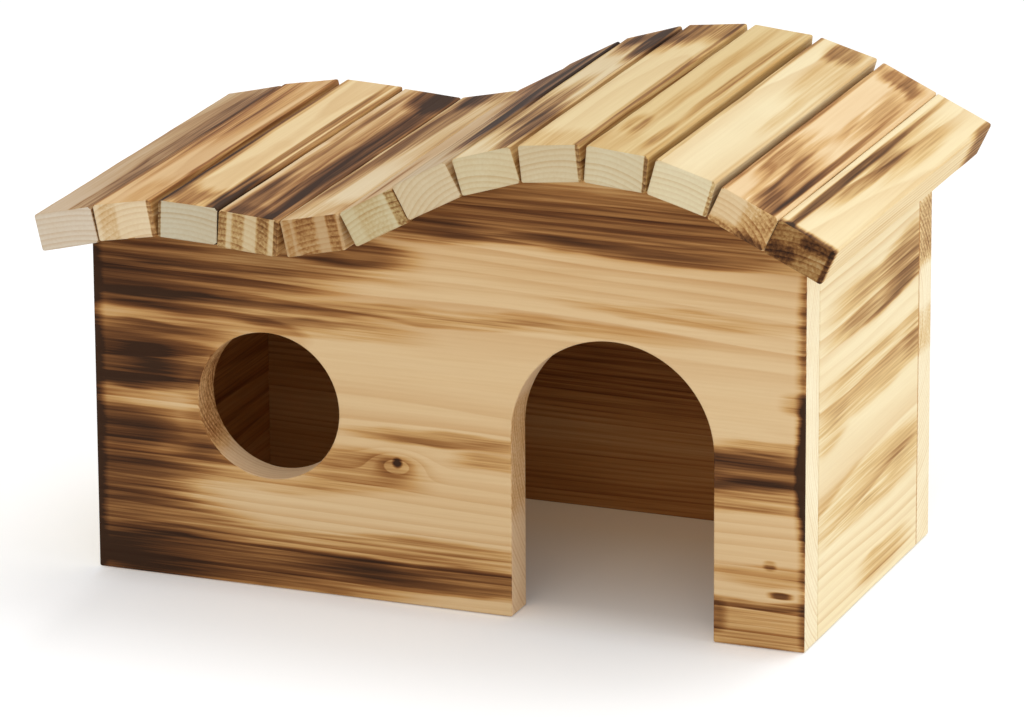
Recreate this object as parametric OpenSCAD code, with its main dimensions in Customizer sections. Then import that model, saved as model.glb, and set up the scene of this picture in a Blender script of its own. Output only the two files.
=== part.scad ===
// Small-animal house of scorched softwood: four board walls under a wave-shaped roof of flat slats.
// Millimetres, +Z up. X runs along the front, Y from the front to the back.
// The origin is on the ground, in the middle of the roof's footprint.

/* [Walls] */
// Width of the front and back walls
wall_w = 360; // [330:1:400]
// Depth over the front and back walls
wall_d = 185; // [140:1:260]
// Thickness of the wall boards
wall_t = 19; // [15:0.5:24]

/* [Roof line] */
// Height of the low crest, at the left
low_crest_z = 175.2; // [165:0.2:190]
// Distance of the low crest to the left of the middle
low_crest_x = 126.5; // [115:0.5:140]
// Radius of the low crest
low_crest_r = 140; // [120:1:165]
// Radius of the valley between the crests
valley_r = 126; // [100:1:160]
// Height of the high crest, at the right
high_crest_z = 222.8; // [205:0.2:240]
// Distance of the high crest to the right of the middle
high_crest_x = 80; // [70:0.5:95]
// Radius of the high crest
high_crest_r = 158; // [140:1:185]
// Downward slope of the left eave, in degrees
left_slope = 13.5; // [8:0.5:20]
// Downward slope of the right eave, in degrees
right_slope = 25; // [18:0.5:30]

/* [Roof slats] */
// Thickness of a slat
slat_t = 18; // [14:0.5:22]
// Reach of the slats past the front wall
front_over = 20.3; // [10:0.1:35]
// Reach of the slats past the back wall
back_over = 27; // [10:0.1:35]
// Reach of the roof past the ends of the front wall
end_over = 20.9; // [12:0.1:30]
// Clearance between neighbouring slats where they come closest
slat_gap = 0.3; // [0.1:0.1:1]
// Width of the eased arrises of a slat
slat_ease = 0.8; // [0.4:0.1:2]
// Clearance between a slat and the wall it rests on
seat_gap = 0.05; // [0.02:0.01:0.2]

/* [Doorway] */
// Width of the doorway
door_w = 101; // [85:1:115]
// Height of the doorway to the top of its round arch
door_h = 141.5; // [120:0.5:155]
// Distance of the doorway's middle to the right of the middle
door_x = 84.3; // [75:0.1:95]

/* [Window] */
// Diameter of the round window
window_d = 72.5; // [50:0.5:85]
// Distance of the window's middle to the left of the middle
window_x = 90; // [75:0.1:100]
// Height of the window's middle
window_z = 90.9; // [75:0.1:105]

/* [Brads] */
// Shank diameter of a brad
brad_d = 1.4; // [1.2:0.1:2]
// Length of a brad under and with its head
brad_len = 40; // [32:1:50]
// Diameter of a brad's head
head_d = 2.2; // [2:0.1:3]
// Thickness of a brad's head
head_t = 0.8; // [0.5:0.1:1.5]
// Length of a brad's point
point_l = 3; // [2:0.5:5]
// Depth that a brad's head is punched under the surface
set_depth = 1.2; // [0.6:0.1:2]
// Clearance around a brad in its hole
brad_fit = 0.04; // [0.02:0.01:0.1]
// Least distance of a roof brad from the end of the wall
brad_inset = 8; // [6:0.5:10]
// Height of the lowest corner brad
corner_low = 27; // [20:1:35]
// Distance of the highest corner brad below the roof line
corner_top = 36; // [32:1:45]

/* [Hidden] */
$fn = 96;

slat_n = 13;
corner_n = 3;
roof_d = front_over + wall_d + back_over;
front_y = front_over - roof_d / 2;
back_y = front_y + wall_d;
front_brad_y = front_y + wall_t / 2;
back_brad_y = back_y - wall_t / 2;
corner_x = wall_w / 2 - wall_t / 2;
per_deg = PI / 180;

wall_tone = "#b98a52";
dark_tone = "#7a5433";
side_tone = "#e3c490";
brad_tone = "#8d8a85";
slat_tones = [
    "#a08a72", "#c1935c", "#dcb578", "#b08a5c", "#c7a57c", "#b7a07e", "#c2a581",
    "#d6b37f", "#c59d68", "#cfa873", "#e6c88f", "#b07a50", "#e2c08a"
];

// The roof line is two crest arcs and a valley arc that meet smoothly, with straight eaves.
// Its slope at a point is a heading in degrees, and a place along it is a length from the low crest's top.
function tangent(a) = [cos(a), sin(a)];
function normal(a) = [-sin(a), cos(a)];

low_c = [-low_crest_x, low_crest_z - low_crest_r];
high_c = [high_crest_x, high_crest_z - high_crest_r];
crest_span = norm(high_c - low_c);
crest_dir = (high_c - low_c) / crest_span;
low_reach = low_crest_r + valley_r;
high_reach = high_crest_r + valley_r;
valley_along = (low_reach * low_reach - high_reach * high_reach + crest_span * crest_span) / (2 * crest_span);
valley_up = sqrt(low_reach * low_reach - valley_along * valley_along);
valley_c = low_c + valley_along * crest_dir + valley_up * [-crest_dir.y, crest_dir.x];

dip_heading = -atan2(valley_c.x - low_c.x, valley_c.y - low_c.y);
climb_heading = atan2(high_c.x - valley_c.x, valley_c.y - high_c.y);
left_end = low_c + low_crest_r * normal(left_slope);
dip = low_c + low_crest_r * normal(dip_heading);
climb = high_c + high_crest_r * normal(climb_heading);
right_end = high_c + high_crest_r * normal(-right_slope);

left_end_s = -low_crest_r * left_slope * per_deg;
dip_s = -low_crest_r * dip_heading * per_deg;
climb_s = dip_s + valley_r * (climb_heading - dip_heading) * per_deg;
high_s = climb_s + high_crest_r * climb_heading * per_deg;
right_end_s = high_s + high_crest_r * right_slope * per_deg;

function heading(s) =
    s < left_end_s ? left_slope :
    s < dip_s ? -s / (low_crest_r * per_deg) :
    s < climb_s ? dip_heading + (s - dip_s) / (valley_r * per_deg) :
    s < right_end_s ? (high_s - s) / (high_crest_r * per_deg) :
    -right_slope;

function roof_line(s) =
    s < left_end_s ? left_end + (s - left_end_s) * tangent(left_slope) :
    s < dip_s ? low_c + low_crest_r * normal(heading(s)) :
    s < climb_s ? valley_c - valley_r * normal(heading(s)) :
    s < right_end_s ? high_c + high_crest_r * normal(heading(s)) :
    right_end + (s - right_end_s) * tangent(-right_slope);

// Height of the roof line above a place along the front
function arc_rise(r, x) = sqrt(r * r - x * x);
function roof_z(x) =
    x < left_end.x ? left_end.y + (x - left_end.x) * tan(left_slope) :
    x < dip.x ? low_c.y + arc_rise(low_crest_r, x - low_c.x) :
    x < climb.x ? valley_c.y - arc_rise(valley_r, x - valley_c.x) :
    x < right_end.x ? high_c.y + arc_rise(high_crest_r, x - high_c.x) :
    right_end.y - (x - right_end.x) * tan(right_slope);

// How far a flat slat of width w stands off the line at its middle: nothing on a crest, and in the
// valley as much as its two lower arrises need.
function seat_rise(s, w) = max([
    for (k = [-1 : 0.25 : 1]) (roof_line(s + k * w / 2) - roof_line(s)) * normal(heading(s))
]);

// Slats are laid from the left. On a crest the lower arrises of two neighbours come closest,
// and in the valley their upper ones.
function slat_step(s, w, step, tries) =
    tries == 0 ? step :
    let (
        turn = heading(s + step) - heading(s),
        upper = 2 * (slat_t + seat_rise(s + step, w)) * tan(turn / 2)
    )
    slat_step(s, w, w + slat_gap + max(0, upper), tries - 1);
function slat_row(s, w, left) =
    left == 1 ? [s] : concat([s], slat_row(s + slat_step(s, w, w, 6), w, left - 1));
function slat_tip(s, w, side) =
    roof_line(s) + (seat_rise(s, w) + slat_t) * normal(heading(s)) + side * w / 2 * tangent(heading(s));

// The first place and the slat width that let the row reach past both ends of the wall alike
function fit_row(s, w, tries) =
    tries == 0 ? [s, w] :
    let (
        row = slat_row(s, w, slat_n),
        left_miss = slat_tip(row[0], w, -1).x + wall_w / 2 + end_over,
        right_miss = slat_tip(row[slat_n - 1], w, 1).x - wall_w / 2 - end_over,
        new_w = w - (right_miss - left_miss) / slat_n
    )
    fit_row(s - left_miss + (new_w - w) / 2, new_w, tries - 1);

first_guess = [low_crest_x - wall_w / 2, wall_w / slat_n];
row_fit = fit_row(first_guess[0], first_guess[1], 12);
slat_w = row_fit[1];
slat_s = slat_row(row_fit[0], slat_w, slat_n);

// Everything under the roof line, wider and deeper than the house
module under_roof_line() {
    far_left = left_end - wall_w * tangent(left_slope);
    far_right = right_end + wall_w * tangent(-right_slope);
    difference() {
        union() {
            polygon([
                [far_left.x, -wall_w], far_left, left_end, dip, climb, right_end, far_right,
                [far_right.x, -wall_w]
            ]);
            arc_cap(low_c, low_crest_r, left_end, dip, 1);
            arc_cap(high_c, high_crest_r, climb, right_end, 1);
        }
        arc_cap(valley_c, valley_r, dip, climb, -1);
    }
}

// Piece of a disc between the chord from a to b and its arc, above the chord or below it
module arc_cap(c, r, a, b, side) {
    intersection() {
        translate(c) circle(r);
        polygon([a, b, b + [0, side * r], a + [0, side * r]]);
    }
}

// Part of the house's front outline between two places along it
module outline_between(x_from, x_to) {
    intersection() {
        translate([x_from, 0]) square([x_to - x_from, max(low_crest_z, high_crest_z) + wall_t]);
        under_roof_line();
    }
}

// Upright board of an outline, with its front face at y
module board(y, depth) {
    translate([0, y + depth, 0]) rotate([90, 0, 0]) linear_extrude(depth) children();
}

// Doorway with straight sides and a half-round top, open to the ground
module doorway() {
    spring_z = door_h - door_w / 2;
    translate([door_x - door_w / 2, -wall_t]) square([door_w, spring_z + wall_t]);
    translate([door_x, spring_z]) circle(d = door_w);
}

// Frame of one slat: its underside's middle, with Z standing off the roof
module at_slat(i) {
    a = heading(slat_s[i]);
    seat = roof_line(slat_s[i]) + (seat_rise(slat_s[i], slat_w) + seat_gap) * normal(a);
    translate([seat.x, 0, seat.y]) rotate([0, -a, 0]) children();
}

// Brad with its head's top at the origin, pointing down
module brad() {
    translate([0, 0, -head_t]) cylinder(d = head_d, h = head_t);
    translate([0, 0, point_l - brad_len]) cylinder(d = brad_d, h = brad_len - point_l);
    translate([0, 0, -brad_len]) cylinder(d1 = brad_d / 4, d2 = brad_d, h = point_l);
}

// Hole that a punched brad leaves, open above its head
module brad_hole() {
    translate([0, 0, -head_t - brad_fit]) cylinder(d = head_d + 2 * brad_fit, h = head_t + 2 * set_depth);
    translate([0, 0, -brad_len - brad_fit]) cylinder(d = brad_d + 2 * brad_fit, h = brad_len);
}

// Roof brads go in square to their slat, at its middle or over the end of the wall
module at_roof_brads(y) {
    for (i = [0 : slat_n - 1]) {
        a = heading(slat_s[i]);
        mid_x = roof_line(slat_s[i]).x;
        limit = wall_w / 2 - brad_inset;
        shift = (max(-limit, min(limit, mid_x)) - mid_x) / cos(a);
        at_slat(i) translate([shift, y, slat_t - set_depth]) children();
    }
}

// Corner brads go through a wall into the ends of the side walls; face is -1 in front and 1 behind
module at_corner_brads(face) {
    head_y = face < 0 ? front_y + set_depth : back_y - set_depth;
    for (side = [-1, 1]) {
        top_z = roof_z(side * corner_x) - corner_top;
        for (k = [0 : corner_n - 1]) {
            z = corner_low + k * (top_z - corner_low) / (corner_n - 1);
            translate([side * corner_x, head_y, z]) rotate([-face * 90, 0, 0]) children();
        }
    }
}

module front_wall() {
    color(wall_tone) difference() {
        board(front_y, wall_t) difference() {
            outline_between(-wall_w / 2, wall_w / 2);
            doorway();
            translate([-window_x, window_z]) circle(d = window_d);
        }
        at_roof_brads(front_brad_y) brad_hole();
        at_corner_brads(-1) brad_hole();
    }
}

module back_wall() {
    color(dark_tone) difference() {
        board(back_y - wall_t, wall_t) outline_between(-wall_w / 2, wall_w / 2);
        at_roof_brads(back_brad_y) brad_hole();
        at_corner_brads(1) brad_hole();
    }
}

// Side wall between the front and the back wall; side is -1 at the left and 1 at the right
module side_wall(side) {
    inner = side * (wall_w / 2 - wall_t);
    outer = side * wall_w / 2;
    difference() {
        board(front_y + wall_t, wall_d - 2 * wall_t) outline_between(min(inner, outer), max(inner, outer));
        at_corner_brads(-1) brad_hole();
        at_corner_brads(1) brad_hole();
    }
}

module left_wall() { color(wall_tone) side_wall(-1); }
module right_wall() { color(side_tone) side_wall(1); }

// Flat slat with eased arrises, running from front to back
module slat(i) {
    half = slat_w / 2;
    profile = [
        [-half + slat_ease, 0], [half - slat_ease, 0], [half, slat_ease], [half, slat_t - slat_ease],
        [half - slat_ease, slat_t], [-half + slat_ease, slat_t], [-half, slat_t - slat_ease], [-half, slat_ease]
    ];
    color(slat_tones[i]) difference() {
        at_slat(i) rotate([90, 0, 0]) linear_extrude(roof_d, center = true) polygon(profile);
        at_roof_brads(front_brad_y) brad_hole();
        at_roof_brads(back_brad_y) brad_hole();
    }
}

module slat_01() { slat(0); }
module slat_02() { slat(1); }
module slat_03() { slat(2); }
module slat_04() { slat(3); }
module slat_05() { slat(4); }
module slat_06() { slat(5); }
module slat_07() { slat(6); }
module slat_08() { slat(7); }
module slat_09() { slat(8); }
module slat_10() { slat(9); }
module slat_11() { slat(10); }
module slat_12() { slat(11); }
module slat_13() { slat(12); }

module front_roof_brads() { color(brad_tone) at_roof_brads(front_brad_y) brad(); }
module back_roof_brads() { color(brad_tone) at_roof_brads(back_brad_y) brad(); }
module front_corner_brads() { color(brad_tone) at_corner_brads(-1) brad(); }
module back_corner_brads() { color(brad_tone) at_corner_brads(1) brad(); }

front_wall();
back_wall();
left_wall();
right_wall();
slat_01();
slat_02();
slat_03();
slat_04();
slat_05();
slat_06();
slat_07();
slat_08();
slat_09();
slat_10();
slat_11();
slat_12();
slat_13();
front_roof_brads();
back_roof_brads();
front_corner_brads();
back_corner_brads();
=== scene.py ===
import math

import bmesh
import bpy
import numpy
from mathutils import Matrix, Vector


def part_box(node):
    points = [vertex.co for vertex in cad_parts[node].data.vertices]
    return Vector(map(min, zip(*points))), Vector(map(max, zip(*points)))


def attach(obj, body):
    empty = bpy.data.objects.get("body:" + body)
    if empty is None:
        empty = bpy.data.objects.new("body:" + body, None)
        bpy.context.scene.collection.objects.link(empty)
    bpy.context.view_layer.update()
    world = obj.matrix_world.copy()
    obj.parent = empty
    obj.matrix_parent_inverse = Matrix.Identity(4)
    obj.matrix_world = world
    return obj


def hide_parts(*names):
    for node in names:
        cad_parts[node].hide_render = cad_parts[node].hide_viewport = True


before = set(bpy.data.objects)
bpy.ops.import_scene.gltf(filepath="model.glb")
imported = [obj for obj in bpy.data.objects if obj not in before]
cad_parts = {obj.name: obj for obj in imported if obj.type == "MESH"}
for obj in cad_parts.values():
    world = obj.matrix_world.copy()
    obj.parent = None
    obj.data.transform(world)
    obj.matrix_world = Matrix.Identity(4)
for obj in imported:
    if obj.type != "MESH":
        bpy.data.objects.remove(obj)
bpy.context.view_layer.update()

# Front wall
# One upright softwood board with its grain from side to side. Its top is sawn to the wave of the
# roof, a round window and an arched doorway are cut through it, its arrises are sanded and a flame
# has scorched its face in streaks along the grain.
# The dark band along its top, under the roof's edge, is scorch and painted shade.
window_at = (-0.0900, 0.0909)
window_radius = 0.03625
door_at = 0.0843
door_width = 0.101
door_height = 0.1415
wave_steps = 59
wave_lowest = 0.158
corner_holes_from = 0.16
cutter_sides = 128
cutter_depth = 0.06
sanded_arris = 0.0009
arris_steps = 3
sharp_angle = math.radians(40)
smooth_angle = math.radians(35)
nearly = 1e-4


def wave_line():
    """Rows of X and Z along the back wall's top edge, which runs straight over the corners."""
    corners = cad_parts["back_wall"].data.vertices
    outer = max(corner.co.y for corner in corners)
    end = max(corner.co.x for corner in corners)
    rim = {}
    for corner in corners:
        x = round(corner.co.x, 5)
        if corner.co.y > outer - nearly and (abs(x) < corner_holes_from or abs(x) > end - nearly):
            rim[x] = max(corner.co.z, rim.get(x, 0))
    rim = {x: z for x, z in rim.items() if z > wave_lowest}
    return numpy.array(sorted(rim.items())).T


def pick_edges(piece, wanted):
    """In edit mode, selects the edges whose two ends the test wants."""
    bpy.ops.mesh.select_mode(type="EDGE")
    bpy.ops.mesh.select_all(action="DESELECT")
    mesh = bmesh.from_edit_mesh(piece.data)
    for edge in mesh.edges:
        edge.select_set(wanted(edge.verts[0].co, edge.verts[1].co))
    bmesh.update_edit_mesh(piece.data)


def planed_board(name, low, high, cuts=()):
    """A squared board between two corners, with so many cuts across its X, Y and Z edges."""
    bpy.ops.object.select_all(action="DESELECT")
    bpy.ops.mesh.primitive_cube_add(size=1, location=(low + high) / 2, scale=high - low)
    board = bpy.context.object
    board.name = name
    board.data.name = name
    bpy.ops.object.transform_apply(location=True, rotation=True, scale=True)
    bpy.ops.object.mode_set(mode="EDIT")
    for axis, count in enumerate(cuts):
        pick_edges(board, lambda a, b: abs(a[axis] - b[axis]) > nearly)
        bpy.ops.mesh.subdivide(number_cuts=count)
    bpy.ops.object.mode_set(mode="OBJECT")
    return board


def saw_to_wave(board, steps):
    """Parts the top of an upright board into steps along X and moves them onto the wave."""
    middle = sum(corner[2] for corner in board.bound_box) / len(board.bound_box)
    bpy.ops.object.mode_set(mode="EDIT")
    pick_edges(board, lambda a, b: a.z > middle and b.z > middle and abs(a.x - b.x) > nearly)
    bpy.ops.mesh.subdivide(number_cuts=steps)
    bpy.ops.object.mode_set(mode="OBJECT")
    for corner in board.data.vertices:
        if corner.co.z > middle:
            corner.co.z = numpy.interp(corner.co.x, *wave)


def cut_through(board, cutter):
    """Saws the cutter's shape out of the board."""
    opening = board.modifiers.new("opening", "BOOLEAN")
    opening.operation = "DIFFERENCE"
    opening.solver = "EXACT"
    opening.object = cutter
    bpy.context.view_layer.objects.active = board
    bpy.ops.object.modifier_apply(modifier=opening.name)
    bpy.data.objects.remove(cutter)


def sand_arrises(board, width):
    """Rounds every sharp edge a little and evens the shading of the flat faces."""
    bpy.ops.object.select_all(action="DESELECT")
    board.select_set(True)
    bpy.context.view_layer.objects.active = board
    bpy.ops.object.mode_set(mode="EDIT")
    bpy.ops.mesh.select_mode(type="EDGE")
    bpy.ops.mesh.select_all(action="DESELECT")
    bpy.ops.mesh.edges_select_sharp(sharpness=sharp_angle)
    bpy.ops.mesh.bevel(offset=width, segments=arris_steps, profile=0.5, affect="EDGES")
    bpy.ops.object.mode_set(mode="OBJECT")
    bpy.ops.object.shade_smooth_by_angle(angle=smooth_angle)
    board.modifiers.new("even shading", "WEIGHTED_NORMAL").keep_sharp = True
    bpy.ops.object.modifier_apply(modifier="even shading")


wave = wave_line()
wall_low, wall_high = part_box("front_wall")
wall_middle = (wall_low.y + wall_high.y) / 2
door_spring = door_height - door_width / 2


def round_cutter(at, height, radius):
    """A cylinder through the front wall, for a round opening."""
    bpy.ops.mesh.primitive_cylinder_add(
        vertices=cutter_sides, radius=radius, depth=cutter_depth,
        location=(at, wall_middle, height), rotation=(math.pi / 2, 0, 0))
    return bpy.context.object


front_wall = planed_board("front_wall_board", wall_low, wall_high)
saw_to_wave(front_wall, wave_steps)
cut_through(front_wall, round_cutter(*window_at, window_radius))
cut_through(front_wall, round_cutter(door_at, door_spring, door_width / 2))
bpy.ops.mesh.primitive_cube_add(
    size=1, location=(door_at, wall_middle, 0), scale=(door_width, cutter_depth, 2 * door_spring))
cut_through(front_wall, bpy.context.object)
sand_arrises(front_wall, sanded_arris)


def tone(code):
    """A colour written as six hex digits, as the shader takes it."""
    shades = [int(code[place:place + 2], 16) / 255 for place in (0, 2, 4)]
    return [((shade + 0.055) / 1.055) ** 2.4 for shade in shades] + [1]


def feed(tree, socket, source):
    """Links a socket to another node's output, or sets its plain value."""
    if isinstance(source, bpy.types.NodeSocket):
        tree.links.new(source, socket)
    else:
        socket.default_value = source


def put(tree, kind, settings, **inputs):
    """Adds a node with its settings, and feeds its inputs by name."""
    node = tree.nodes.new("ShaderNode" + kind)
    for name, value in settings.items():
        setattr(node, name, value)
    for name, source in inputs.items():
        feed(tree, node.inputs[name.replace("_", " ")], source)
    return node


def work_out(tree, operation, *values):
    """One Math node's result."""
    node = put(tree, "Math", {"operation": operation})
    for socket, value in zip(node.inputs, values):
        feed(tree, socket, value)
    return node.outputs[0]


def work_out_vector(tree, operation, *values):
    """One Vector Math node's result."""
    node = put(tree, "VectorMath", {"operation": operation})
    for socket, value in zip(node.inputs, values):
        feed(tree, socket, value)
    return node.outputs["Value" if operation == "LENGTH" else "Vector"]


def fit_range(tree, value, low, high, to_low, to_high, easing="LINEAR"):
    """A value brought from one range to another, held at its ends."""
    node = put(tree, "MapRange", {"interpolation_type": easing}, Value=value, From_Min=low,
               From_Max=high, To_Min=to_low, To_Max=to_high)
    return node.outputs[0]


mix_colour_inputs = (0, 6, 7)
mix_colour_output = 2


def tint(tree, way, share, under, over):
    """Two colours mixed in the given way."""
    node = put(tree, "Mix", {"data_type": "RGBA", "blend_type": way})
    for place, source in zip(mix_colour_inputs, (share, under, over)):
        feed(tree, node.inputs[place], source)
    return node.outputs[mix_colour_output]


def ramp(tree, value, stops):
    """A colour ramp with stops of place and colour."""
    node = put(tree, "ValToRGB", {}, Fac=value)
    elements = node.color_ramp.elements
    while len(elements) < len(stops):
        elements.new(0.5)
    for element, (place, colour) in zip(elements, stops):
        element.position = place
        element.color = colour
    return node.outputs["Color"]


def new_group(name, takes, gives):
    """An empty node group, with its inputs and outputs by name."""
    tree = bpy.data.node_groups.new(name, "ShaderNodeTree")
    for label, kind in takes:
        tree.interface.new_socket(label, in_out="INPUT", socket_type="NodeSocket" + kind)
    for label, kind in gives:
        tree.interface.new_socket(label, in_out="OUTPUT", socket_type="NodeSocket" + kind)
    given = tree.nodes.new("NodeGroupInput").outputs
    wanted = tree.nodes.new("NodeGroupOutput").inputs
    return tree, given, wanted


def speckle(tree, vector, stretch, detail, output):
    """Noise whose coarseness along, across and through the board is the stretch."""
    spread = work_out_vector(tree, "MULTIPLY", vector, stretch)
    node = put(tree, "TexNoise", {}, Vector=spread, Scale=1, Detail=detail)
    return node.outputs[output]


def grey(level):
    """A grey of the given level."""
    return (level, level, level, 1)


# Growth rings round the board's own pith, fibres along the grain and the browns that a flame
# leaves on them. The vector runs along, across and through the board, and so do the grains.
# The same browns also colour the painted shade that some burns carry.
seed_step = (3.1, 1.7, 2.3)
sway_grain = (3.0, 14.0, 14.0)
fibre_grain = (16.0, 750.0, 750.0)
drift_grain = (5.0, 42.0, 42.0)
noise_span = (0.3, 0.7)
weakest_year = 0.3
seasons = [(0, grey(0.05)), (0.35, grey(0.1)), (0.82, grey(0.85)), (0.93, grey(1)), (1, grey(0.05))]
late_share = 0.6
late_shade = (0.74, 0.55, 0.36, 1)
fibre_share = 0.25
fibre_shade = (0.82, 0.72, 0.6, 1)
drift_share = 0.3
drift_shade = (0.9, 0.78, 0.62, 1)
quick_to_catch = 2.5
uneven_burn = 0.3
late_relief = 0.6
fibre_relief = 0.4
burnt_browns = [
    (0, (1, 1, 1, 1)), (0.22, (0.82, 0.68, 0.48, 1)), (0.45, (0.5, 0.33, 0.19, 1)),
    (0.68, (0.24, 0.135, 0.075, 1)), (0.86, (0.13, 0.07, 0.042, 1)), (1, (0.055, 0.033, 0.025, 1))]
planed_roughness = 0.58
charred_roughness = 0.8
scorched, given, wanted = new_group(
    "scorched_softwood",
    [("Vector", "Vector"), ("Pith", "Vector"), ("Ring", "Float"), ("Wander", "Float"),
     ("Bulge", "Float"), ("Seed", "Float"), ("Raw", "Color"), ("Burn", "Float")],
    [("Color", "Color"), ("Roughness", "Float"), ("Height", "Float")])
strewn = work_out_vector(scorched, "MULTIPLY", given["Seed"], seed_step)
strewn = work_out_vector(scorched, "ADD", given["Vector"], strewn)
sway = speckle(scorched, strewn, sway_grain, 1.5, "Color")
sway = work_out_vector(scorched, "SUBTRACT", sway, (0.5, 0.5, 0.5))
sway = work_out_vector(scorched, "MULTIPLY", sway, given["Wander"])
ring_place = work_out_vector(scorched, "SUBTRACT", given["Vector"], given["Pith"])
ring_place = work_out_vector(scorched, "ADD", ring_place, sway)
ring_place = work_out_vector(scorched, "MULTIPLY", ring_place, (0, 1, 1))
age = work_out(scorched, "DIVIDE", work_out_vector(scorched, "LENGTH", ring_place), given["Ring"])
age = work_out(scorched, "ADD", age, given["Bulge"])
year = work_out(scorched, "ADD", work_out(scorched, "FLOOR", age), given["Seed"])
vigour = put(scorched, "TexWhiteNoise", {"noise_dimensions": "1D"}, W=year).outputs["Value"]
vigour = fit_range(scorched, vigour, 0, 1, weakest_year, 1)
late = ramp(scorched, work_out(scorched, "FRACT", age), seasons)
late = work_out(scorched, "MULTIPLY", late, vigour)
fibre = speckle(scorched, strewn, fibre_grain, 3, "Fac")
fibre = fit_range(scorched, fibre, *noise_span, 0, 1)
drift = speckle(scorched, strewn, drift_grain, 2, "Fac")
drift = fit_range(scorched, drift, *noise_span, 0, 1)
wood = given["Raw"]
for mask, share, shade in ((late, late_share, late_shade), (fibre, fibre_share, fibre_shade),
                           (drift, drift_share, drift_shade)):
    wood = tint(scorched, "MULTIPLY", work_out(scorched, "MULTIPLY", mask, share), wood, shade)
touched = work_out(scorched, "MULTIPLY", given["Burn"], quick_to_catch)
touched = work_out(scorched, "MINIMUM", touched, 1)
uneven = 0.0
for mask, mean in ((fibre, 0.5), (late, 0.4), (drift, 0.5)):
    swing = work_out(scorched, "MULTIPLY_ADD", mask, uneven_burn, -mean * uneven_burn)
    uneven = work_out(scorched, "ADD", swing, uneven)
heat = work_out(scorched, "MULTIPLY_ADD", uneven, touched, given["Burn"])
browning = ramp(scorched, heat, burnt_browns)
feed(scorched, wanted["Color"], tint(scorched, "MULTIPLY", 1, wood, browning))
feed(scorched, wanted["Roughness"], fit_range(scorched, heat, 0, 1, planed_roughness, charred_roughness))
relief = work_out(scorched, "MULTIPLY", late, late_relief)
relief = work_out(scorched, "MULTIPLY_ADD", fibre, fibre_relief, relief)
feed(scorched, wanted["Height"], relief)

# The flame's path wavers, and its ends run out in streaks along the grain.
path_seed_step = (1.3, 2.9, 0.7)
streak_grain = (9.0, 260.0, 260.0)
waver_grain = (16.0, 50.0, 50.0)
streak_reach = 0.026
flame_path, given, wanted = new_group(
    "flame_path", [("Vector", "Vector"), ("Seed", "Float"), ("Waver", "Float")],
    [("Along", "Float"), ("Across", "Float")])
strewn = work_out_vector(flame_path, "MULTIPLY", given["Seed"], path_seed_step)
strewn = work_out_vector(flame_path, "ADD", given["Vector"], strewn)
streaks = speckle(flame_path, strewn, streak_grain, 3, "Fac")
waver = speckle(flame_path, strewn, waver_grain, 2, "Fac")
place = put(flame_path, "SeparateXYZ", {}, Vector=given["Vector"]).outputs
streaks = work_out(flame_path, "MULTIPLY_ADD", streaks, streak_reach, -streak_reach / 2)
waver = work_out(flame_path, "SUBTRACT", waver, 0.5)
waver = work_out(flame_path, "MULTIPLY", waver, given["Waver"])
feed(flame_path, wanted["Along"], work_out(flame_path, "ADD", place["X"], streaks))
feed(flame_path, wanted["Across"], work_out(flame_path, "ADD", place["Y"], waver))

# One lick of the flame: a long patch with soft ends and firmer sides. Its burn is full at the core
# and gone at the rim, as shares of its reach.
# The same patch also lays painted shade where it is placed in shade.
lick_core = 0.35
lick_rim = 1.25
lick, given, wanted = new_group(
    "flame_lick_or_painted_shade",
    [("Along", "Float"), ("Across", "Float"), ("At along", "Float"), ("At across", "Float"),
     ("Reach along", "Float"), ("Reach across", "Float"), ("Strength", "Float")],
    [("Burn", "Float")])
off_along = work_out(lick, "SUBTRACT", given["Along"], given["At along"])
off_along = work_out(lick, "DIVIDE", off_along, given["Reach along"])
off_across = work_out(lick, "SUBTRACT", given["Across"], given["At across"])
off_across = work_out(lick, "DIVIDE", off_across, given["Reach across"])
off_across = work_out(lick, "MULTIPLY", off_across, off_across)
off = work_out(lick, "MULTIPLY", off_along, off_along)
off = work_out(lick, "MULTIPLY_ADD", off_across, off_across, off)
reach = fit_range(lick, work_out(lick, "SQRT", off), lick_core, lick_rim, 1, 0, "SMOOTHSTEP")
feed(lick, wanted["Burn"], work_out(lick, "MULTIPLY", reach, given["Strength"]))

# A knot: the rings bulge round it and its heart is dark.
bulge_stretch = 0.5
bulge_fall = -0.13
bulge_rings = 2.2
heart_core = 0.4
heart_rim = 1.3
heart_burn = 0.8
knot_eye, given, wanted = new_group(
    "knot_eye",
    [("Vector", "Vector"), ("At along", "Float"), ("At across", "Float"), ("Size", "Float")],
    [("Bulge", "Float"), ("Heart", "Float")])
place = put(knot_eye, "SeparateXYZ", {}, Vector=given["Vector"]).outputs
off_along = work_out(knot_eye, "SUBTRACT", place["X"], given["At along"])
off_along = work_out(knot_eye, "DIVIDE", off_along, given["Size"])
off_across = work_out(knot_eye, "SUBTRACT", place["Y"], given["At across"])
off_across = work_out(knot_eye, "DIVIDE", off_across, given["Size"])
stretched = work_out(knot_eye, "MULTIPLY", off_along, bulge_stretch)
off = work_out(knot_eye, "MULTIPLY", stretched, stretched)
off = work_out(knot_eye, "MULTIPLY_ADD", off_across, off_across, off)
swell = work_out(knot_eye, "EXPONENT", work_out(knot_eye, "MULTIPLY", off, bulge_fall))
feed(knot_eye, wanted["Bulge"], work_out(knot_eye, "MULTIPLY", swell, bulge_rings))
round_off = work_out(knot_eye, "MULTIPLY", off_along, off_along)
round_off = work_out(knot_eye, "MULTIPLY_ADD", off_across, off_across, round_off)
heart = work_out(knot_eye, "SQRT", round_off)
heart = fit_range(knot_eye, heart, heart_core, heart_rim, heart_burn, 0, "SMOOTHSTEP")
feed(knot_eye, wanted["Heart"], heart)


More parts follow.
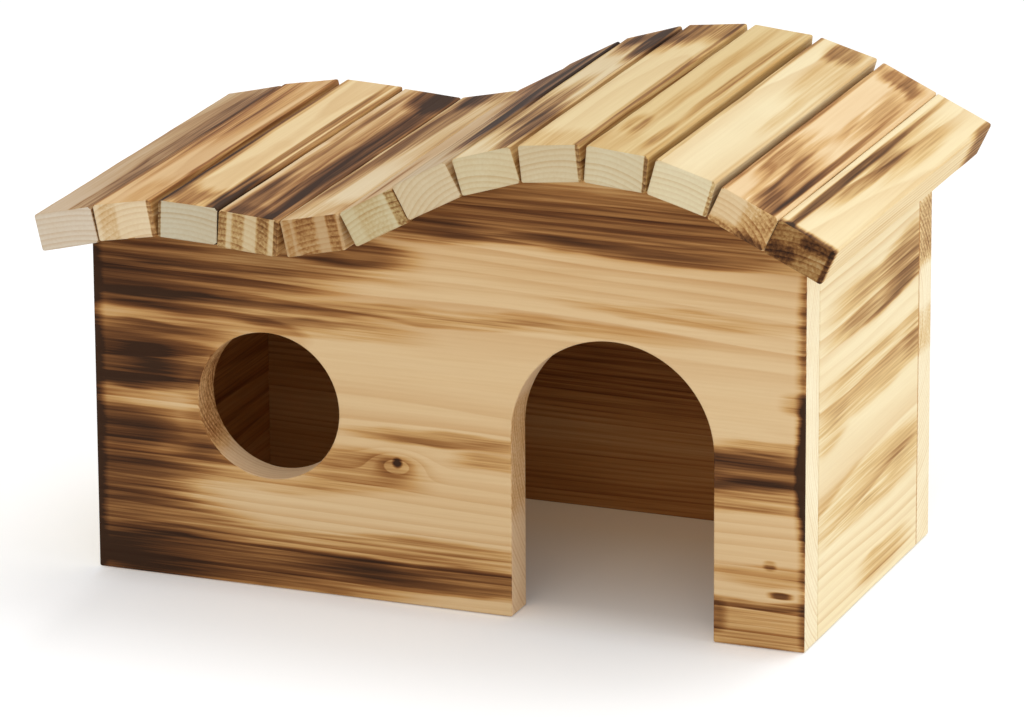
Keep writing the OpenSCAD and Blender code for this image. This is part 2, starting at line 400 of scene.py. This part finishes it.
def use_group(tree, group, **inputs):
    """Places a node group and feeds its inputs by name."""
    node = tree.nodes.new("ShaderNodeGroup")
    node.node_tree = group
    for name, source in inputs.items():
        feed(tree, node.inputs[name.replace("_", " ")], source)
    return node.outputs


ring_width = 0.0026
ring_wander = 0.012
wall_waver = 0.010
wood_gloss = 0.16
grain_strength = 0.35
grain_depth = 0.0004


# Some of the burns given to softwood are painted shade.
def softwood(name, order, raw, pith, seed, licks=(), knots=(), edges=(), rims=(), centre=(0, 0, 0),
             turn=0, waver=wall_waver):
    """Scorched softwood. The order names the axes along, across and through the board.

    Licks waver, edges run straight along and across, and rims lie through and across the board.
    """
    material = bpy.data.materials.new(name)
    material.use_nodes = True
    tree = material.node_tree
    shader = tree.nodes["Principled BSDF"]
    place = put(tree, "TexCoord", {}).outputs["Object"]
    place = put(tree, "Mapping", {"vector_type": "TEXTURE"}, Vector=place, Location=centre,
                Rotation=(0, turn, 0)).outputs["Vector"]
    axes = put(tree, "SeparateXYZ", {}, Vector=place).outputs
    board = put(tree, "CombineXYZ", {}, X=axes[order[0]], Y=axes[order[1]], Z=axes[order[2]])
    board = board.outputs["Vector"]
    path = use_group(tree, flame_path, Vector=board, Seed=seed, Waver=waver)
    straight = {"Along": axes[order[0]], "Across": axes[order[1]]}
    upright = {"Along": axes[order[2]], "Across": axes[order[1]]}
    burns = [(path, burn) for burn in licks] + [(straight, burn) for burn in edges]
    burns += [(upright, burn) for burn in rims]
    burn = 0.0
    for way, (at_along, at_across, reach_along, reach_across, strength) in burns:
        patch = use_group(tree, lick, Along=way["Along"], Across=way["Across"], At_along=at_along,
                          At_across=at_across, Reach_along=reach_along, Reach_across=reach_across,
                          Strength=strength)
        burn = work_out(tree, "ADD", patch["Burn"], burn)
    bulge = 0.0
    for at_along, at_across, size in knots:
        knot = use_group(tree, knot_eye, Vector=board, At_along=at_along, At_across=at_across, Size=size)
        bulge = work_out(tree, "ADD", knot["Bulge"], bulge)
        burn = work_out(tree, "ADD", knot["Heart"], burn)
    wood = use_group(tree, scorched, Vector=board, Pith=pith, Ring=ring_width, Wander=ring_wander,
                     Bulge=bulge, Seed=seed, Raw=tone(raw), Burn=burn)
    feed(tree, shader.inputs["Base Color"], wood["Color"])
    feed(tree, shader.inputs["Roughness"], wood["Roughness"])
    shader.inputs["Specular IOR Level"].default_value = wood_gloss
    bump = put(tree, "Bump", {}, Strength=grain_strength, Distance=grain_depth, Height=wood["Height"])
    feed(tree, shader.inputs["Normal"], bump.outputs["Normal"])
    return material


def finish_board(piece, node, woods, wood_of_side):
    """Gives each side of a board its wood and puts the board in its CAD node's place."""
    piece.data.materials.clear()
    for wood in woods:
        piece.data.materials.append(wood)
    for side in piece.data.polygons:
        side.material_index = wood_of_side(side)
    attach(piece, "root")
    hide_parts(node)


# Each burn is its place along and across the board, its reach along and across, and its strength, in
# metres. A strength below zero leaves a paler streak. A knot is its place and its size.
front_burns_and_shade = [
    (-0.190, 0.085, 0.080, 0.115, 0.44), (-0.152, 0.149, 0.095, 0.011, 0.48),
    # The first patch on the next line lies under the roof's edge: scorch and painted shade.
    (-0.105, 0.163, 0.090, 0.007, 0.50), (-0.115, 0.138, 0.095, 0.006, 0.50),
    (-0.060, 0.132, 0.052, 0.005, 0.36), (-0.010, 0.143, 0.085, 0.004, 0.28),
    (-0.168, 0.1290, 0.042, 0.0028, -0.26), (-0.140, 0.123, 0.045, 0.004, 0.26),
    (-0.172, 0.108, 0.040, 0.014, 0.44), (-0.138, 0.107, 0.028, 0.014, 0.22),
    (-0.155, 0.096, 0.036, 0.0040, 0.44), (-0.132, 0.127, 0.030, 0.0055, 0.18),
    (-0.088, 0.153, 0.042, 0.005, 0.15), (-0.148, 0.0880, 0.030, 0.0035, -0.20),
    (-0.120, 0.088, 0.014, 0.028, 0.24), (-0.168, 0.073, 0.040, 0.011, 0.40),
    (-0.118, 0.063, 0.022, 0.006, 0.36), (-0.170, 0.048, 0.050, 0.014, 0.46),
    (-0.150, 0.030, 0.066, 0.008, 0.40), (-0.125, 0.011, 0.115, 0.012, 0.72),
    (-0.120, 0.022, 0.090, 0.004, 0.26), (0.000, 0.015, 0.075, 0.008, 0.68),
    (-0.035, 0.028, 0.095, 0.006, 0.46), (-0.090, 0.053, 0.050, 0.005, 0.24),
    (-0.044, 0.064, 0.036, 0.012, 0.32), (0.000, 0.0845, 0.055, 0.0040, 0.50),
    # The second patch on the next line and the three after it are the dark band under the roof: scorch
    # and painted shade.
    (0.028, 0.076, 0.026, 0.0045, 0.38), (0.065, 0.200, 0.135, 0.0185, 0.56),
    (0.090, 0.186, 0.110, 0.004, 0.24), (-0.012, 0.188, 0.034, 0.008, 0.36),
    (-0.045, 0.172, 0.034, 0.008, 0.56), (0.152, 0.0868, 0.075, 0.011, 0.74),
    (0.152, 0.073, 0.060, 0.009, 0.46), (0.155, 0.089, 0.070, 0.005, 0.16),
    (0.164, 0.099, 0.026, 0.004, 0.44), (0.160, 0.011, 0.052, 0.013, 0.44),
    (0.158, 0.022, 0.040, 0.0025, 0.36), (0.160, 0.036, 0.034, 0.006, 0.24),
    (0.120, 0.157, 0.070, 0.0035, 0.26), (0.060, 0.146, 0.090, 0.004, 0.22),
    (0.040, 0.170, 0.150, 0.015, 0.06),
]
front_edges = [
    (-0.182, 0.085, 0.007, 0.120, 0.50), (0.1815, 0.086, 0.0065, 0.038, 0.85),
    (0.1815, 0.125, 0.0065, 0.065, 0.65), (0.1815, 0.030, 0.0050, 0.040, 0.40),
    (0.178, 0.121, 0.011, 0.006, 0.46), (0.135, 0.014, 0.007, 0.009, 0.34),
    (-0.024, 0.0695, 0.014, 0.0055, 0.05), (0.168, 0.0268, 0.0065, 0.0019, 0.80),
    (0.1627, 0.041, 0.0035, 0.0028, 0.36),
]
front_knots = [(-0.024, 0.070, 0.0026)]
# The first reveal burn, on the window's left, is scorch and painted shade.
reveal_burns_and_shade = [(-0.127, 0.100, 0.017, 0.042, 0.40), (0.034, 0.085, 0.004, 0.040, 0.20)]
# The inner faces have a darker tone and broad darker patches.
inside_dark_patches = [(0, 0.10, 0.26, 0.16, 0.22), (0, 0.07, 0.2, 0.02, 0.15)]
front_tone = "e6c89a"
sawn_tone = "f7edcd"
reveal_tone = "fadcb4"
inside_tone = "c8945c"
wall_pith = (0, 0.120, 0.030)
edge_on = 0.5
wall_end_from = 0.17
front_face = softwood("front_scorched_and_shaded", "XZY", front_tone, wall_pith, seed=1.0, licks=front_burns_and_shade,
                      knots=front_knots, edges=front_edges)
wall_sawn = softwood("wall_sawn", "XZY", sawn_tone, wall_pith, seed=1.0)
reveal = softwood("reveal_sawn", "XZY", reveal_tone, wall_pith, seed=1.0, edges=reveal_burns_and_shade)
wall_inside = softwood("wall_inside", "XZY", inside_tone, wall_pith, seed=5.0, licks=inside_dark_patches)


def front_wood(side):
    """The front wall's scorched and shade-painted face, sawn edges, dark inside and sawn openings."""
    if abs(side.normal.y) < edge_on:
        return 1 if abs(side.center.x) > wall_end_from else 3
    return 0 if side.normal.y < 0 else 2


finish_board(front_wall, "front_wall", (front_face, wall_sawn, wall_inside, reveal),
             front_wood)

# Back wall
# A second board sawn to the same wave, with no opening. It stands behind the side walls' ends and is
# scorched like the front.
back_low, back_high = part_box("back_wall")
back_wall = planed_board("back_wall_board", back_low, back_high)
saw_to_wave(back_wall, wave_steps)
sand_arrises(back_wall, sanded_arris)
back_licks = [
    (0.190, 0.085, 0.085, 0.115, 0.36), (0.150, 0.150, 0.100, 0.016, 0.55),
    (0.160, 0.105, 0.060, 0.012, 0.40), (0.165, 0.058, 0.070, 0.016, 0.45),
    (-0.130, 0.108, 0.090, 0.009, 0.55), (-0.150, 0.060, 0.070, 0.006, 0.40),
    (0.040, 0.062, 0.130, 0.007, 0.42), (-0.020, 0.092, 0.090, 0.004, 0.30),
    (-0.060, 0.010, 0.150, 0.013, 0.74), (0.110, 0.012, 0.090, 0.010, 0.52),
    (0.065, 0.204, 0.120, 0.015, 0.62), (-0.100, 0.158, 0.085, 0.011, 0.46),
    (-0.010, 0.146, 0.080, 0.004, 0.30), (0.030, 0.170, 0.140, 0.006, 0.18),
]
back_edges = [(-0.182, 0.090, 0.007, 0.100, 0.55), (0.182, 0.090, 0.007, 0.100, 0.55)]
back_knots = [(0.064, 0.118, 0.0042), (-0.104, 0.052, 0.0028)]
back_end_burns = [(0.18, 0.158, 0.02, 0.018, 0.42), (0.18, 0.108, 0.02, 0.012, 0.18)]
back_tone = "e4c596"
back_pith = (0, 0.070, -0.045)
back_face = softwood("back_scorched", "XZY", back_tone, back_pith, seed=2.0, licks=back_licks,
                     knots=back_knots, edges=back_edges)
back_sawn = softwood("back_sawn", "XZY", sawn_tone, wall_pith, seed=2.0, edges=back_end_burns)


def back_wood(side):
    """The scorched face, the sawn edges and the dark inside of the back wall."""
    if abs(side.normal.y) < edge_on:
        return 1
    return 0 if side.normal.y > 0 else 2


finish_board(back_wall, "back_wall", (back_face, back_sawn, wall_inside), back_wood)

# Side walls
# Two short boards between the front and the back, with the grain from front to back and their tops
# planed to the slope of the eaves. The flame has only tanned them in level bands.
# The band high at the back, under the eave, is tan and painted shade.
side_tone = "f4e7c1"
side_pith = (0, 0.09, 0.05)
side_steps = 3
side_bands_and_shade = [
    # The second band on the next line, high at the back under the eave, is tan and painted shade.
    (0.015, 0.149, 0.085, 0.014, 0.32), (0.058, 0.152, 0.045, 0.015, 0.28),
    (0.000, 0.109, 0.100, 0.015, 0.27), (-0.062, 0.098, 0.026, 0.012, 0.24),
    (-0.005, 0.056, 0.105, 0.016, 0.28), (-0.030, 0.045, 0.050, 0.004, 0.20),
    (0.020, 0.012, 0.042, 0.008, 0.26), (0.005, 0.140, 0.070, 0.004, 0.26),
    (0.050, 0.050, 0.030, 0.012, 0.12), (0.070, 0.110, 0.024, 0.014, 0.20),
]


def side_wall(name, node, seed, licks, knots):
    """One side wall, shaped to the eave above it."""
    low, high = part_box(node)
    board = planed_board(name, low, high)
    saw_to_wave(board, side_steps)
    sand_arrises(board, sanded_arris)
    face = softwood(name + "_scorched", "YZX", side_tone, side_pith, seed, licks, knots)
    inside = softwood(name + "_inside", "YZX", inside_tone, side_pith, seed, inside_dark_patches)
    outward = math.copysign(1, low.x)
    finish_board(board, node, (face, inside),
                 lambda side: 1 if side.normal.x * outward < -edge_on else 0)


left_knots = [(0.030, 0.085, 0.0030)]
side_wall("left_wall_board", "left_wall", seed=3.0, licks=side_bands_and_shade[:5], knots=left_knots)
side_wall("right_wall_board", "right_wall", seed=4.0, licks=side_bands_and_shade, knots=[])

# Roof slats
# Thirteen equal flat slats of the same softwood, laid side by side along the wave and nailed to the
# walls' tops. Their long arrises are toasted, their sawn ends are mostly bare, and each slat has taken
# the flame in its own way.
slat_count = 13
slat_arris = 0.0011
slat_cuts = (7, 47, 3)
sanding_scale = 0.035
sanding_depth = 0.0005
toast_length = 0.3
toast_reach = 0.0026
end_facing = 0.7
slat_waver = 0.004
first_slat_seed = 10.0
mm_per_metre = 1000


def lie_of_slat(node):
    """A CAD slat's heading in the XZ plane, its middle and its size along its own axes."""
    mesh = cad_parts[node].data
    top = max(mesh.polygons, key=lambda side: side.area * side.normal.z).normal
    heading = math.atan2(-top.x, top.z)
    own_axes = Matrix.Rotation(heading, 3, "Y")
    corners = numpy.array([own_axes @ corner.co for corner in mesh.vertices])
    low = Vector(corners.min(0))
    high = Vector(corners.max(0))
    return heading, own_axes.inverted() @ ((low + high) / 2), high - low


slat_names = [f"slat_{number:02d}" for number in range(1, slat_count + 1)]
blank_size = lie_of_slat(slat_names[0])[2]
blank = planed_board("slat_blank", -blank_size / 2, blank_size / 2, slat_cuts)
sand_arrises(blank, slat_arris)
hand_sanding = bpy.data.textures.new("hand_sanding", "CLOUDS")
hand_sanding.noise_scale = sanding_scale
slat_half = blank_size.x / 2

# Each slat's raw tone, its sawn ends' tone, the toast of its left and right arrises, the pith's place
# across and below it, its own licks of the flame, the straight lines along its grain, and those on
# its ends. Places are millimetres along the slat and across it from its middle.
slat_finishes = [
    ("d6c4aa", "dfd2be", (0.10, 0.40), (-6, -60),
     [(40, 8, 120, 7, 0.38), (-85, 9, 58, 6, 0.48), (40, 0, 130, 18, 0.24)],
     [],
     []),
    ("e3c08c", "ecd8b4", (0.36, 0.45), (10, -45),
     [(60, -8, 80, 7, 0.40), (65, 2, 80, 8, 0.30), (-30, -10, 60, 5, 0.22), (-100, 6, 30, 8, 0.24)],
     [],
     [(-116, -8, 40, 5, 0.14), (-116, 14.5, 40, 1.5, 0.60)]),
    ("ecd3a2", "cfc6ac", (0.60, 0.50), (0, -80),
     [(-90, 12, 50, 4, 0.60), (-60, -12, 70, 3, 0.36), (-106, 0, 20, 17, 0.38)],
     [(25, 9.4, 130, 2.4, 0.60), (-20, -12.5, 150, 2.2, 0.30)],
     [(-116, -14.5, 40, 1.2, 0.60)]),
    ("e6cda4", "d8c49c", (0.04, 0.16), (-14, -38),
     [(0, 9, 170, 8, 0.66), (-20, -3, 160, 8, 0.34), (0, -10, 150, 3, 0.30), (-90, -7, 50, 6, 0.44),
      (106, 5, 24, 13, 0.56), (-114, 0, 14, 16, 0.26)],
     [(0, 9.4, 150, 3.2, 0.32), (80, -9.5, 50, 2.4, 0.35)],
     [(-116, -13, 40, 2.4, 0.46), (-116, -5, 40, 3.4, 0.36), (-116, 7.5, 40, 3.4, 0.40),
      (-116, 14.5, 40, 1.5, 0.55)]),
    ("e8d6b2", "c8a87c", (0.04, 0.12), (8, -50),
     [(70, -5, 88, 10, 0.50), (-35, -9, 66, 7, 0.38), (55, 4, 80, 14, 0.24), (110, 0, 22, 14, 0.40),
      (-105, 0, 20, 18, 0.16)],
     [],
     [(-116, -3, 40, 6, 0.36), (-116, 11, 40, 3, 0.42), (-116, -12, 40, 2, 0.20)]),
    ("d4b88e", "d4c8a2", (0.10, 0.40), (-4, -70),
     [(100, 8, 70, 9, 0.50), (108, 0, 36, 18, 0.40), (20, 3, 60, 9, 0.06), (-78, -3, 44, 3.5, 0.34)],
     [],
     [(-116, 0, 40, 8, 0.12), (-116, 13, 40, 3, 0.45)]),
    ("cdb896", "dac9a6", (0.30, 0.25), (12, -42),
     [(75, -5, 85, 13, 0.62), (50, 7, 100, 9, 0.54), (-35, 6, 60, 8, 0.68), (-12, -6, 60, 9, 0.28),
      (-60, 12, 36, 5, 0.40)],
     [(60, 15.2, 120, 2.6, 0.60)],
     []),
    ("ebdab2", "d9cba6", (0.20, 0.30), (-10, -55),
     [(-78, 9, 55, 7, 0.72), (-30, 1, 60, 8, 0.52), (-35, -10, 50, 7, 0.40), (84, 10, 40, 6, 0.95),
      (108, 0, 18, 16, 0.45), (96, -2, 26, 10, 0.34), (-72, -3, 38, 5, 0.24)],
     [],
     []),
    ("ecd7a6", "d6c6a2", (0.06, 0.40), (4, -66),
     [(100, -7, 30, 11, 0.58), (100, 9, 28, 7, 0.52), (74, -11, 24, 5, 0.30),
      (-105, 0, 20, 18, 0.16)],
     [(0, 12.5, 140, 2.5, 0.28)],
     [(116, 0, 40, 18, 0.40), (-116, 14.5, 40, 1.2, 0.55)]),
    ("e2ca94", "dacdaa", (0.06, 0.20), (-8, -48),
     [(20, -4, 130, 4, 0.20), (30, 9, 110, 3, 0.34), (-72, -7, 18, 5, 0.36), (-85, 8, 25, 3, 0.28),
      (-106, 0, 26, 17, 0.13)],
     [],
     [(-116, 14.5, 40, 1.2, 0.55)]),
    ("f2e3ba", "e6dab6", (0.44, 0.12), (6, -90),
     [(70, 4, 60, 9, 0.16), (104, 1, 18, 10, 0.36), (-5, 8, 40, 4, 0.16)],
     [],
     [(-116, 14.5, 40, 1.2, 0.40)]),
    ("efd6ab", "e6cda2", (0.45, 0.10), (-12, -40),
     [(-80, 6, 56, 8, 0.56), (-45, -8.5, 44, 4, 0.48), (-72, -2.5, 52, 4, 0.30),
      (52, 4.5, 60, 6, 0.42), (105, -1, 15, 13, 0.58), (-24, -1.5, 34, 3, 0.30),
      (-104, 4, 26, 10, 0.24)],
     [(-20, 11.3, 130, 1.9, 0.50)],
     [(-116, 7, 40, 9, 0.30)]),
    ("f2e2b8", "b89c70", (0.00, 0.10), (14, -58),
     [(40, -1, 60, 9, 0.30), (-20, -4.5, 60, 5, 0.36)],
     [(-30, -10, 160, 2.3, 0.64), (-58, -9.6, 62, 2.8, 0.28), (-118, 0, 7, 20, 0.90),
      (108, 15, 22, 3, 0.60)],
     [(-116, -2, 40, 30, 0.36), (-116, 15, 40, 2.4, 0.50)]),
]

# Burns on the ends of the two slats over the right eave, as places through and across the slat.
# The low band on slat 12's end is scorch and painted shade.
charred_and_shaded_ends = {
    "slat_12": [(-9, 1, 4.5, 20, 0.46), (5, 10, 6, 6, 0.16)],
    "slat_13": [(6, 6, 4, 9, 0.50), (-4.5, -8, 5, 8, 0.42), (0.5, -1, 5, 6, 0.18)],
}


def in_metres(licks):
    """A slat's licks with their millimetres as metres."""
    return [tuple(size / mm_per_metre for size in burn[:4]) + burn[4:] for burn in licks]


for number, (node, finish) in enumerate(zip(slat_names, slat_finishes)):
    raw, end_tone, toast, pith_at, licks, lines, end_lines = finish
    heading, middle = lie_of_slat(node)[:2]
    bpy.ops.object.select_all(action="DESELECT")
    blank.select_set(True)
    bpy.context.view_layer.objects.active = blank
    bpy.ops.object.duplicate()
    slat = bpy.context.object
    slat.name = node + "_board"
    slat.data.name = slat.name
    slat.matrix_world = Matrix.Translation(middle) @ Matrix.Rotation(-heading, 4, "Y")
    bpy.ops.object.transform_apply(location=True, rotation=True, scale=True)
    sanding = slat.modifiers.new("hand sanding", "DISPLACE")
    sanding.texture = hand_sanding
    sanding.texture_coords = "GLOBAL"
    sanding.strength = sanding_depth
    bpy.ops.object.modifier_apply(modifier=sanding.name)
    pith = (0, pith_at[0] / mm_per_metre, pith_at[1] / mm_per_metre)
    arrises = [(0, -slat_half, toast_length, toast_reach, toast[0]),
               (0, slat_half, toast_length, toast_reach, toast[1])]
    seed = first_slat_seed + number
    face = softwood(node + "_scorched", "YXZ", raw, pith, seed, in_metres(licks),
                    edges=arrises + in_metres(lines), centre=middle, turn=-heading, waver=slat_waver)
    sawn = softwood(node + "_sawn", "YXZ", end_tone, pith, seed, edges=in_metres(end_lines),
                    rims=in_metres(charred_and_shaded_ends.get(node, ())), centre=middle, turn=-heading)
    finish_board(slat, node, (face, sawn),
                 lambda side: 1 if abs(side.normal.y) > end_facing else 0)
bpy.data.objects.remove(blank)

# Brads
# Thin steel brads, driven through the slats into the walls and through the walls' corners and
# punched under the surface, so that only the wood shows.
drawn_grain = (2500.0, 2500.0, 300.0)
brad_dark = tone("8d8c88")
brad_bright = tone("b9b8b3")
brad_smooth = 0.28
brad_rough = 0.45
brad_steel = bpy.data.materials.new("bright_brad_steel")
brad_steel.use_nodes = True
brad_tree = brad_steel.node_tree
brad_shader = brad_tree.nodes["Principled BSDF"]
brad_place = put(brad_tree, "TexCoord", {}).outputs["Object"]
drawn_lines = speckle(brad_tree, brad_place, drawn_grain, 2, "Fac")
feed(brad_tree, brad_shader.inputs["Base Color"],
     ramp(brad_tree, drawn_lines, [(noise_span[0], brad_dark), (noise_span[1], brad_bright)]))
feed(brad_tree, brad_shader.inputs["Roughness"],
     fit_range(brad_tree, drawn_lines, *noise_span, brad_smooth, brad_rough))
brad_shader.inputs["Metallic"].default_value = 1
for node in ("front_roof_brads", "back_roof_brads", "front_corner_brads", "back_corner_brads"):
    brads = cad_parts[node]
    brads.data.materials.clear()
    brads.data.materials.append(brad_steel)

# Studio
# A white sweep that keeps the house's soft shadow, with painted warm bounce under the house, an even
# white dome, a broad lamp high at the back whose shade falls to the front, a soft fill by the camera
# and a soft box beside the right wall.
scene = bpy.context.scene
dome_level = 0.62
floor_size = 14
floor_drop = 0.0004
floor_white = (0.86, 0.86, 0.86, 1)
floor_painted_bounce = (0.90, 0.68, 0.44, 1)
floor_lift = 0.26
far_lift = 0.12
ends_lift = 0.06
shade_lift = 0.085
under_wall = 0.002
end_fade = 0.018
front_fade_inside = 0.03
front_fade_outside = 0.02
far_fade = 0.14
lamp_level = 0.3
lamp_spread = math.radians(42)
lamp_from = (0.15, 0.50, 0.85)


def seen_directly(tree):
    """One for the rays that look at the backdrop, straight or by a reflection."""
    rays = put(tree, "LightPath", {}).outputs
    seen = work_out(tree, "ADD", rays["Is Camera Ray"], rays["Is Glossy Ray"])
    return work_out(tree, "MINIMUM", work_out(tree, "ADD", seen, rays["Is Transmission Ray"]), 1)


world = bpy.data.worlds.new("white_dome")
world.use_nodes = True
dome = world.node_tree.nodes["Background"]
dome.inputs["Color"].default_value = (1, 1, 1, 1)
dome_seen = fit_range(world.node_tree, seen_directly(world.node_tree), 0, 1, dome_level, 1)
feed(world.node_tree, dome.inputs["Strength"], dome_seen)
scene.world = world

bpy.ops.object.select_all(action="DESELECT")
bpy.ops.mesh.primitive_plane_add(size=floor_size, location=(0, 0, -floor_drop))
floor = bpy.context.object
floor.name = "studio_floor"
sweep = bpy.data.materials.new("white_sweep")
sweep.use_nodes = True
floor_tree = sweep.node_tree
sweep_shader = floor_tree.nodes["Principled BSDF"]
sweep_shader.inputs["Roughness"].default_value = 0.9
sweep_shader.inputs["Specular IOR Level"].default_value = 0
floor_place = put(floor_tree, "TexCoord", {}).outputs["Object"]
floor_axes = put(floor_tree, "SeparateXYZ", {}, Vector=floor_place).outputs
wall_end = wall_high.x
wall_front = wall_low.y


def floor_fade(place, start, end):
    """A mask over the floor that grows from nought to one between two places."""
    return fit_range(floor_tree, place, start, end, 0, 1)


# The floor is lifted to white in the open, and stays in shade between the walls. The lift is a glow
# that paints light in, more of it ahead of the house and past its ends, which paints out shade there;
# between the walls a painted warm tint stands in for light bounced off the wood.
off_middle = work_out(floor_tree, "ABSOLUTE", floor_axes["X"])
depth = floor_axes["Y"]
past_ends = floor_fade(off_middle, wall_end - end_fade, wall_end - under_wall)
past_front = floor_fade(depth, wall_front + front_fade_inside, wall_front - front_fade_outside)
past_back = floor_fade(depth, back_low.y + under_wall, back_high.y - under_wall)
nearer = floor_fade(depth, wall_front + far_fade, wall_front - front_fade_outside)
ahead = floor_fade(depth, wall_front - front_fade_outside, wall_front - far_fade)
past_walls = work_out(floor_tree, "MAXIMUM", past_front, past_back)
open_floor = work_out(floor_tree, "MAXIMUM", past_ends, past_walls)
whiter = work_out(floor_tree, "MAXIMUM", open_floor, nearer)
sweep_tone = tint(floor_tree, "MIX", whiter, floor_painted_bounce, floor_white)
feed(floor_tree, sweep_shader.inputs["Base Color"], sweep_tone)
feed(floor_tree, sweep_shader.inputs["Emission Color"], sweep_tone)
open_lift = fit_range(floor_tree, open_floor, 0, 1, shade_lift, floor_lift)
open_lift = work_out(floor_tree, "MULTIPLY_ADD", past_ends, ends_lift, open_lift)
open_lift = work_out(floor_tree, "MULTIPLY_ADD", ahead, far_lift, open_lift)
sweep_lift = work_out(floor_tree, "MULTIPLY", seen_directly(floor_tree), open_lift)
feed(floor_tree, sweep_shader.inputs["Emission Strength"], sweep_lift)
floor.data.materials.append(sweep)

lamp_data = bpy.data.lights.new("high_back_lamp", "SUN")
lamp_data.energy = lamp_level * math.pi
lamp_data.angle = lamp_spread
back_lamp = bpy.data.objects.new("high_back_lamp", lamp_data)
back_lamp.matrix_world = Vector(lamp_from).to_track_quat("Z", "Y").to_matrix().to_4x4()
scene.collection.objects.link(back_lamp)


def soft_box(name, place, aim, width, level):
    """A square lamp that lights a white card at its aim to the given level."""
    data = bpy.data.lights.new(name, "AREA")
    away = Vector(place) - Vector(aim)
    data.size = width
    data.energy = level * (math.pi * away.length) ** 2
    box = bpy.data.objects.new(name, data)
    box.matrix_world = Matrix.Translation(place) @ away.to_track_quat("Z", "Y").to_matrix().to_4x4()
    scene.collection.objects.link(box)


soft_box("camera_fill", place=(0.6, -2.6, 1.6), aim=(0, -0.09, 0.1), width=2.4, level=0.22)
soft_box("right_soft_box", place=(1.05, 0.0, 0.45), aim=(0.18, 0, 0.1), width=0.9, level=0.35)

# Camera
# A long lens to the right of the front and a little above it, as the photograph was taken. Its place and
# turn are those from which the walls' corners and the openings fall where the photograph has them.
camera_at = (1.2143, -3.10625, 1.1434)
camera_turn = math.radians(21.40)
camera_tilt = math.radians(90 - 17.43)
camera_roll = math.radians(-0.33)
camera_data = bpy.data.cameras.new("camera")
camera_data.sensor_width = 36
camera_data.lens = 254.8
camera_data.clip_end = 50
camera = bpy.data.objects.new("camera", camera_data)
look = Matrix.Rotation(camera_turn, 4, "Z")
look = look @ Matrix.Rotation(camera_tilt, 4, "X")
look = look @ Matrix.Rotation(camera_roll, 4, "Z")
camera.matrix_world = Matrix.Translation(camera_at) @ look
scene.collection.objects.link(camera)
scene.camera = camera
scene.view_settings.view_transform = "Standard"
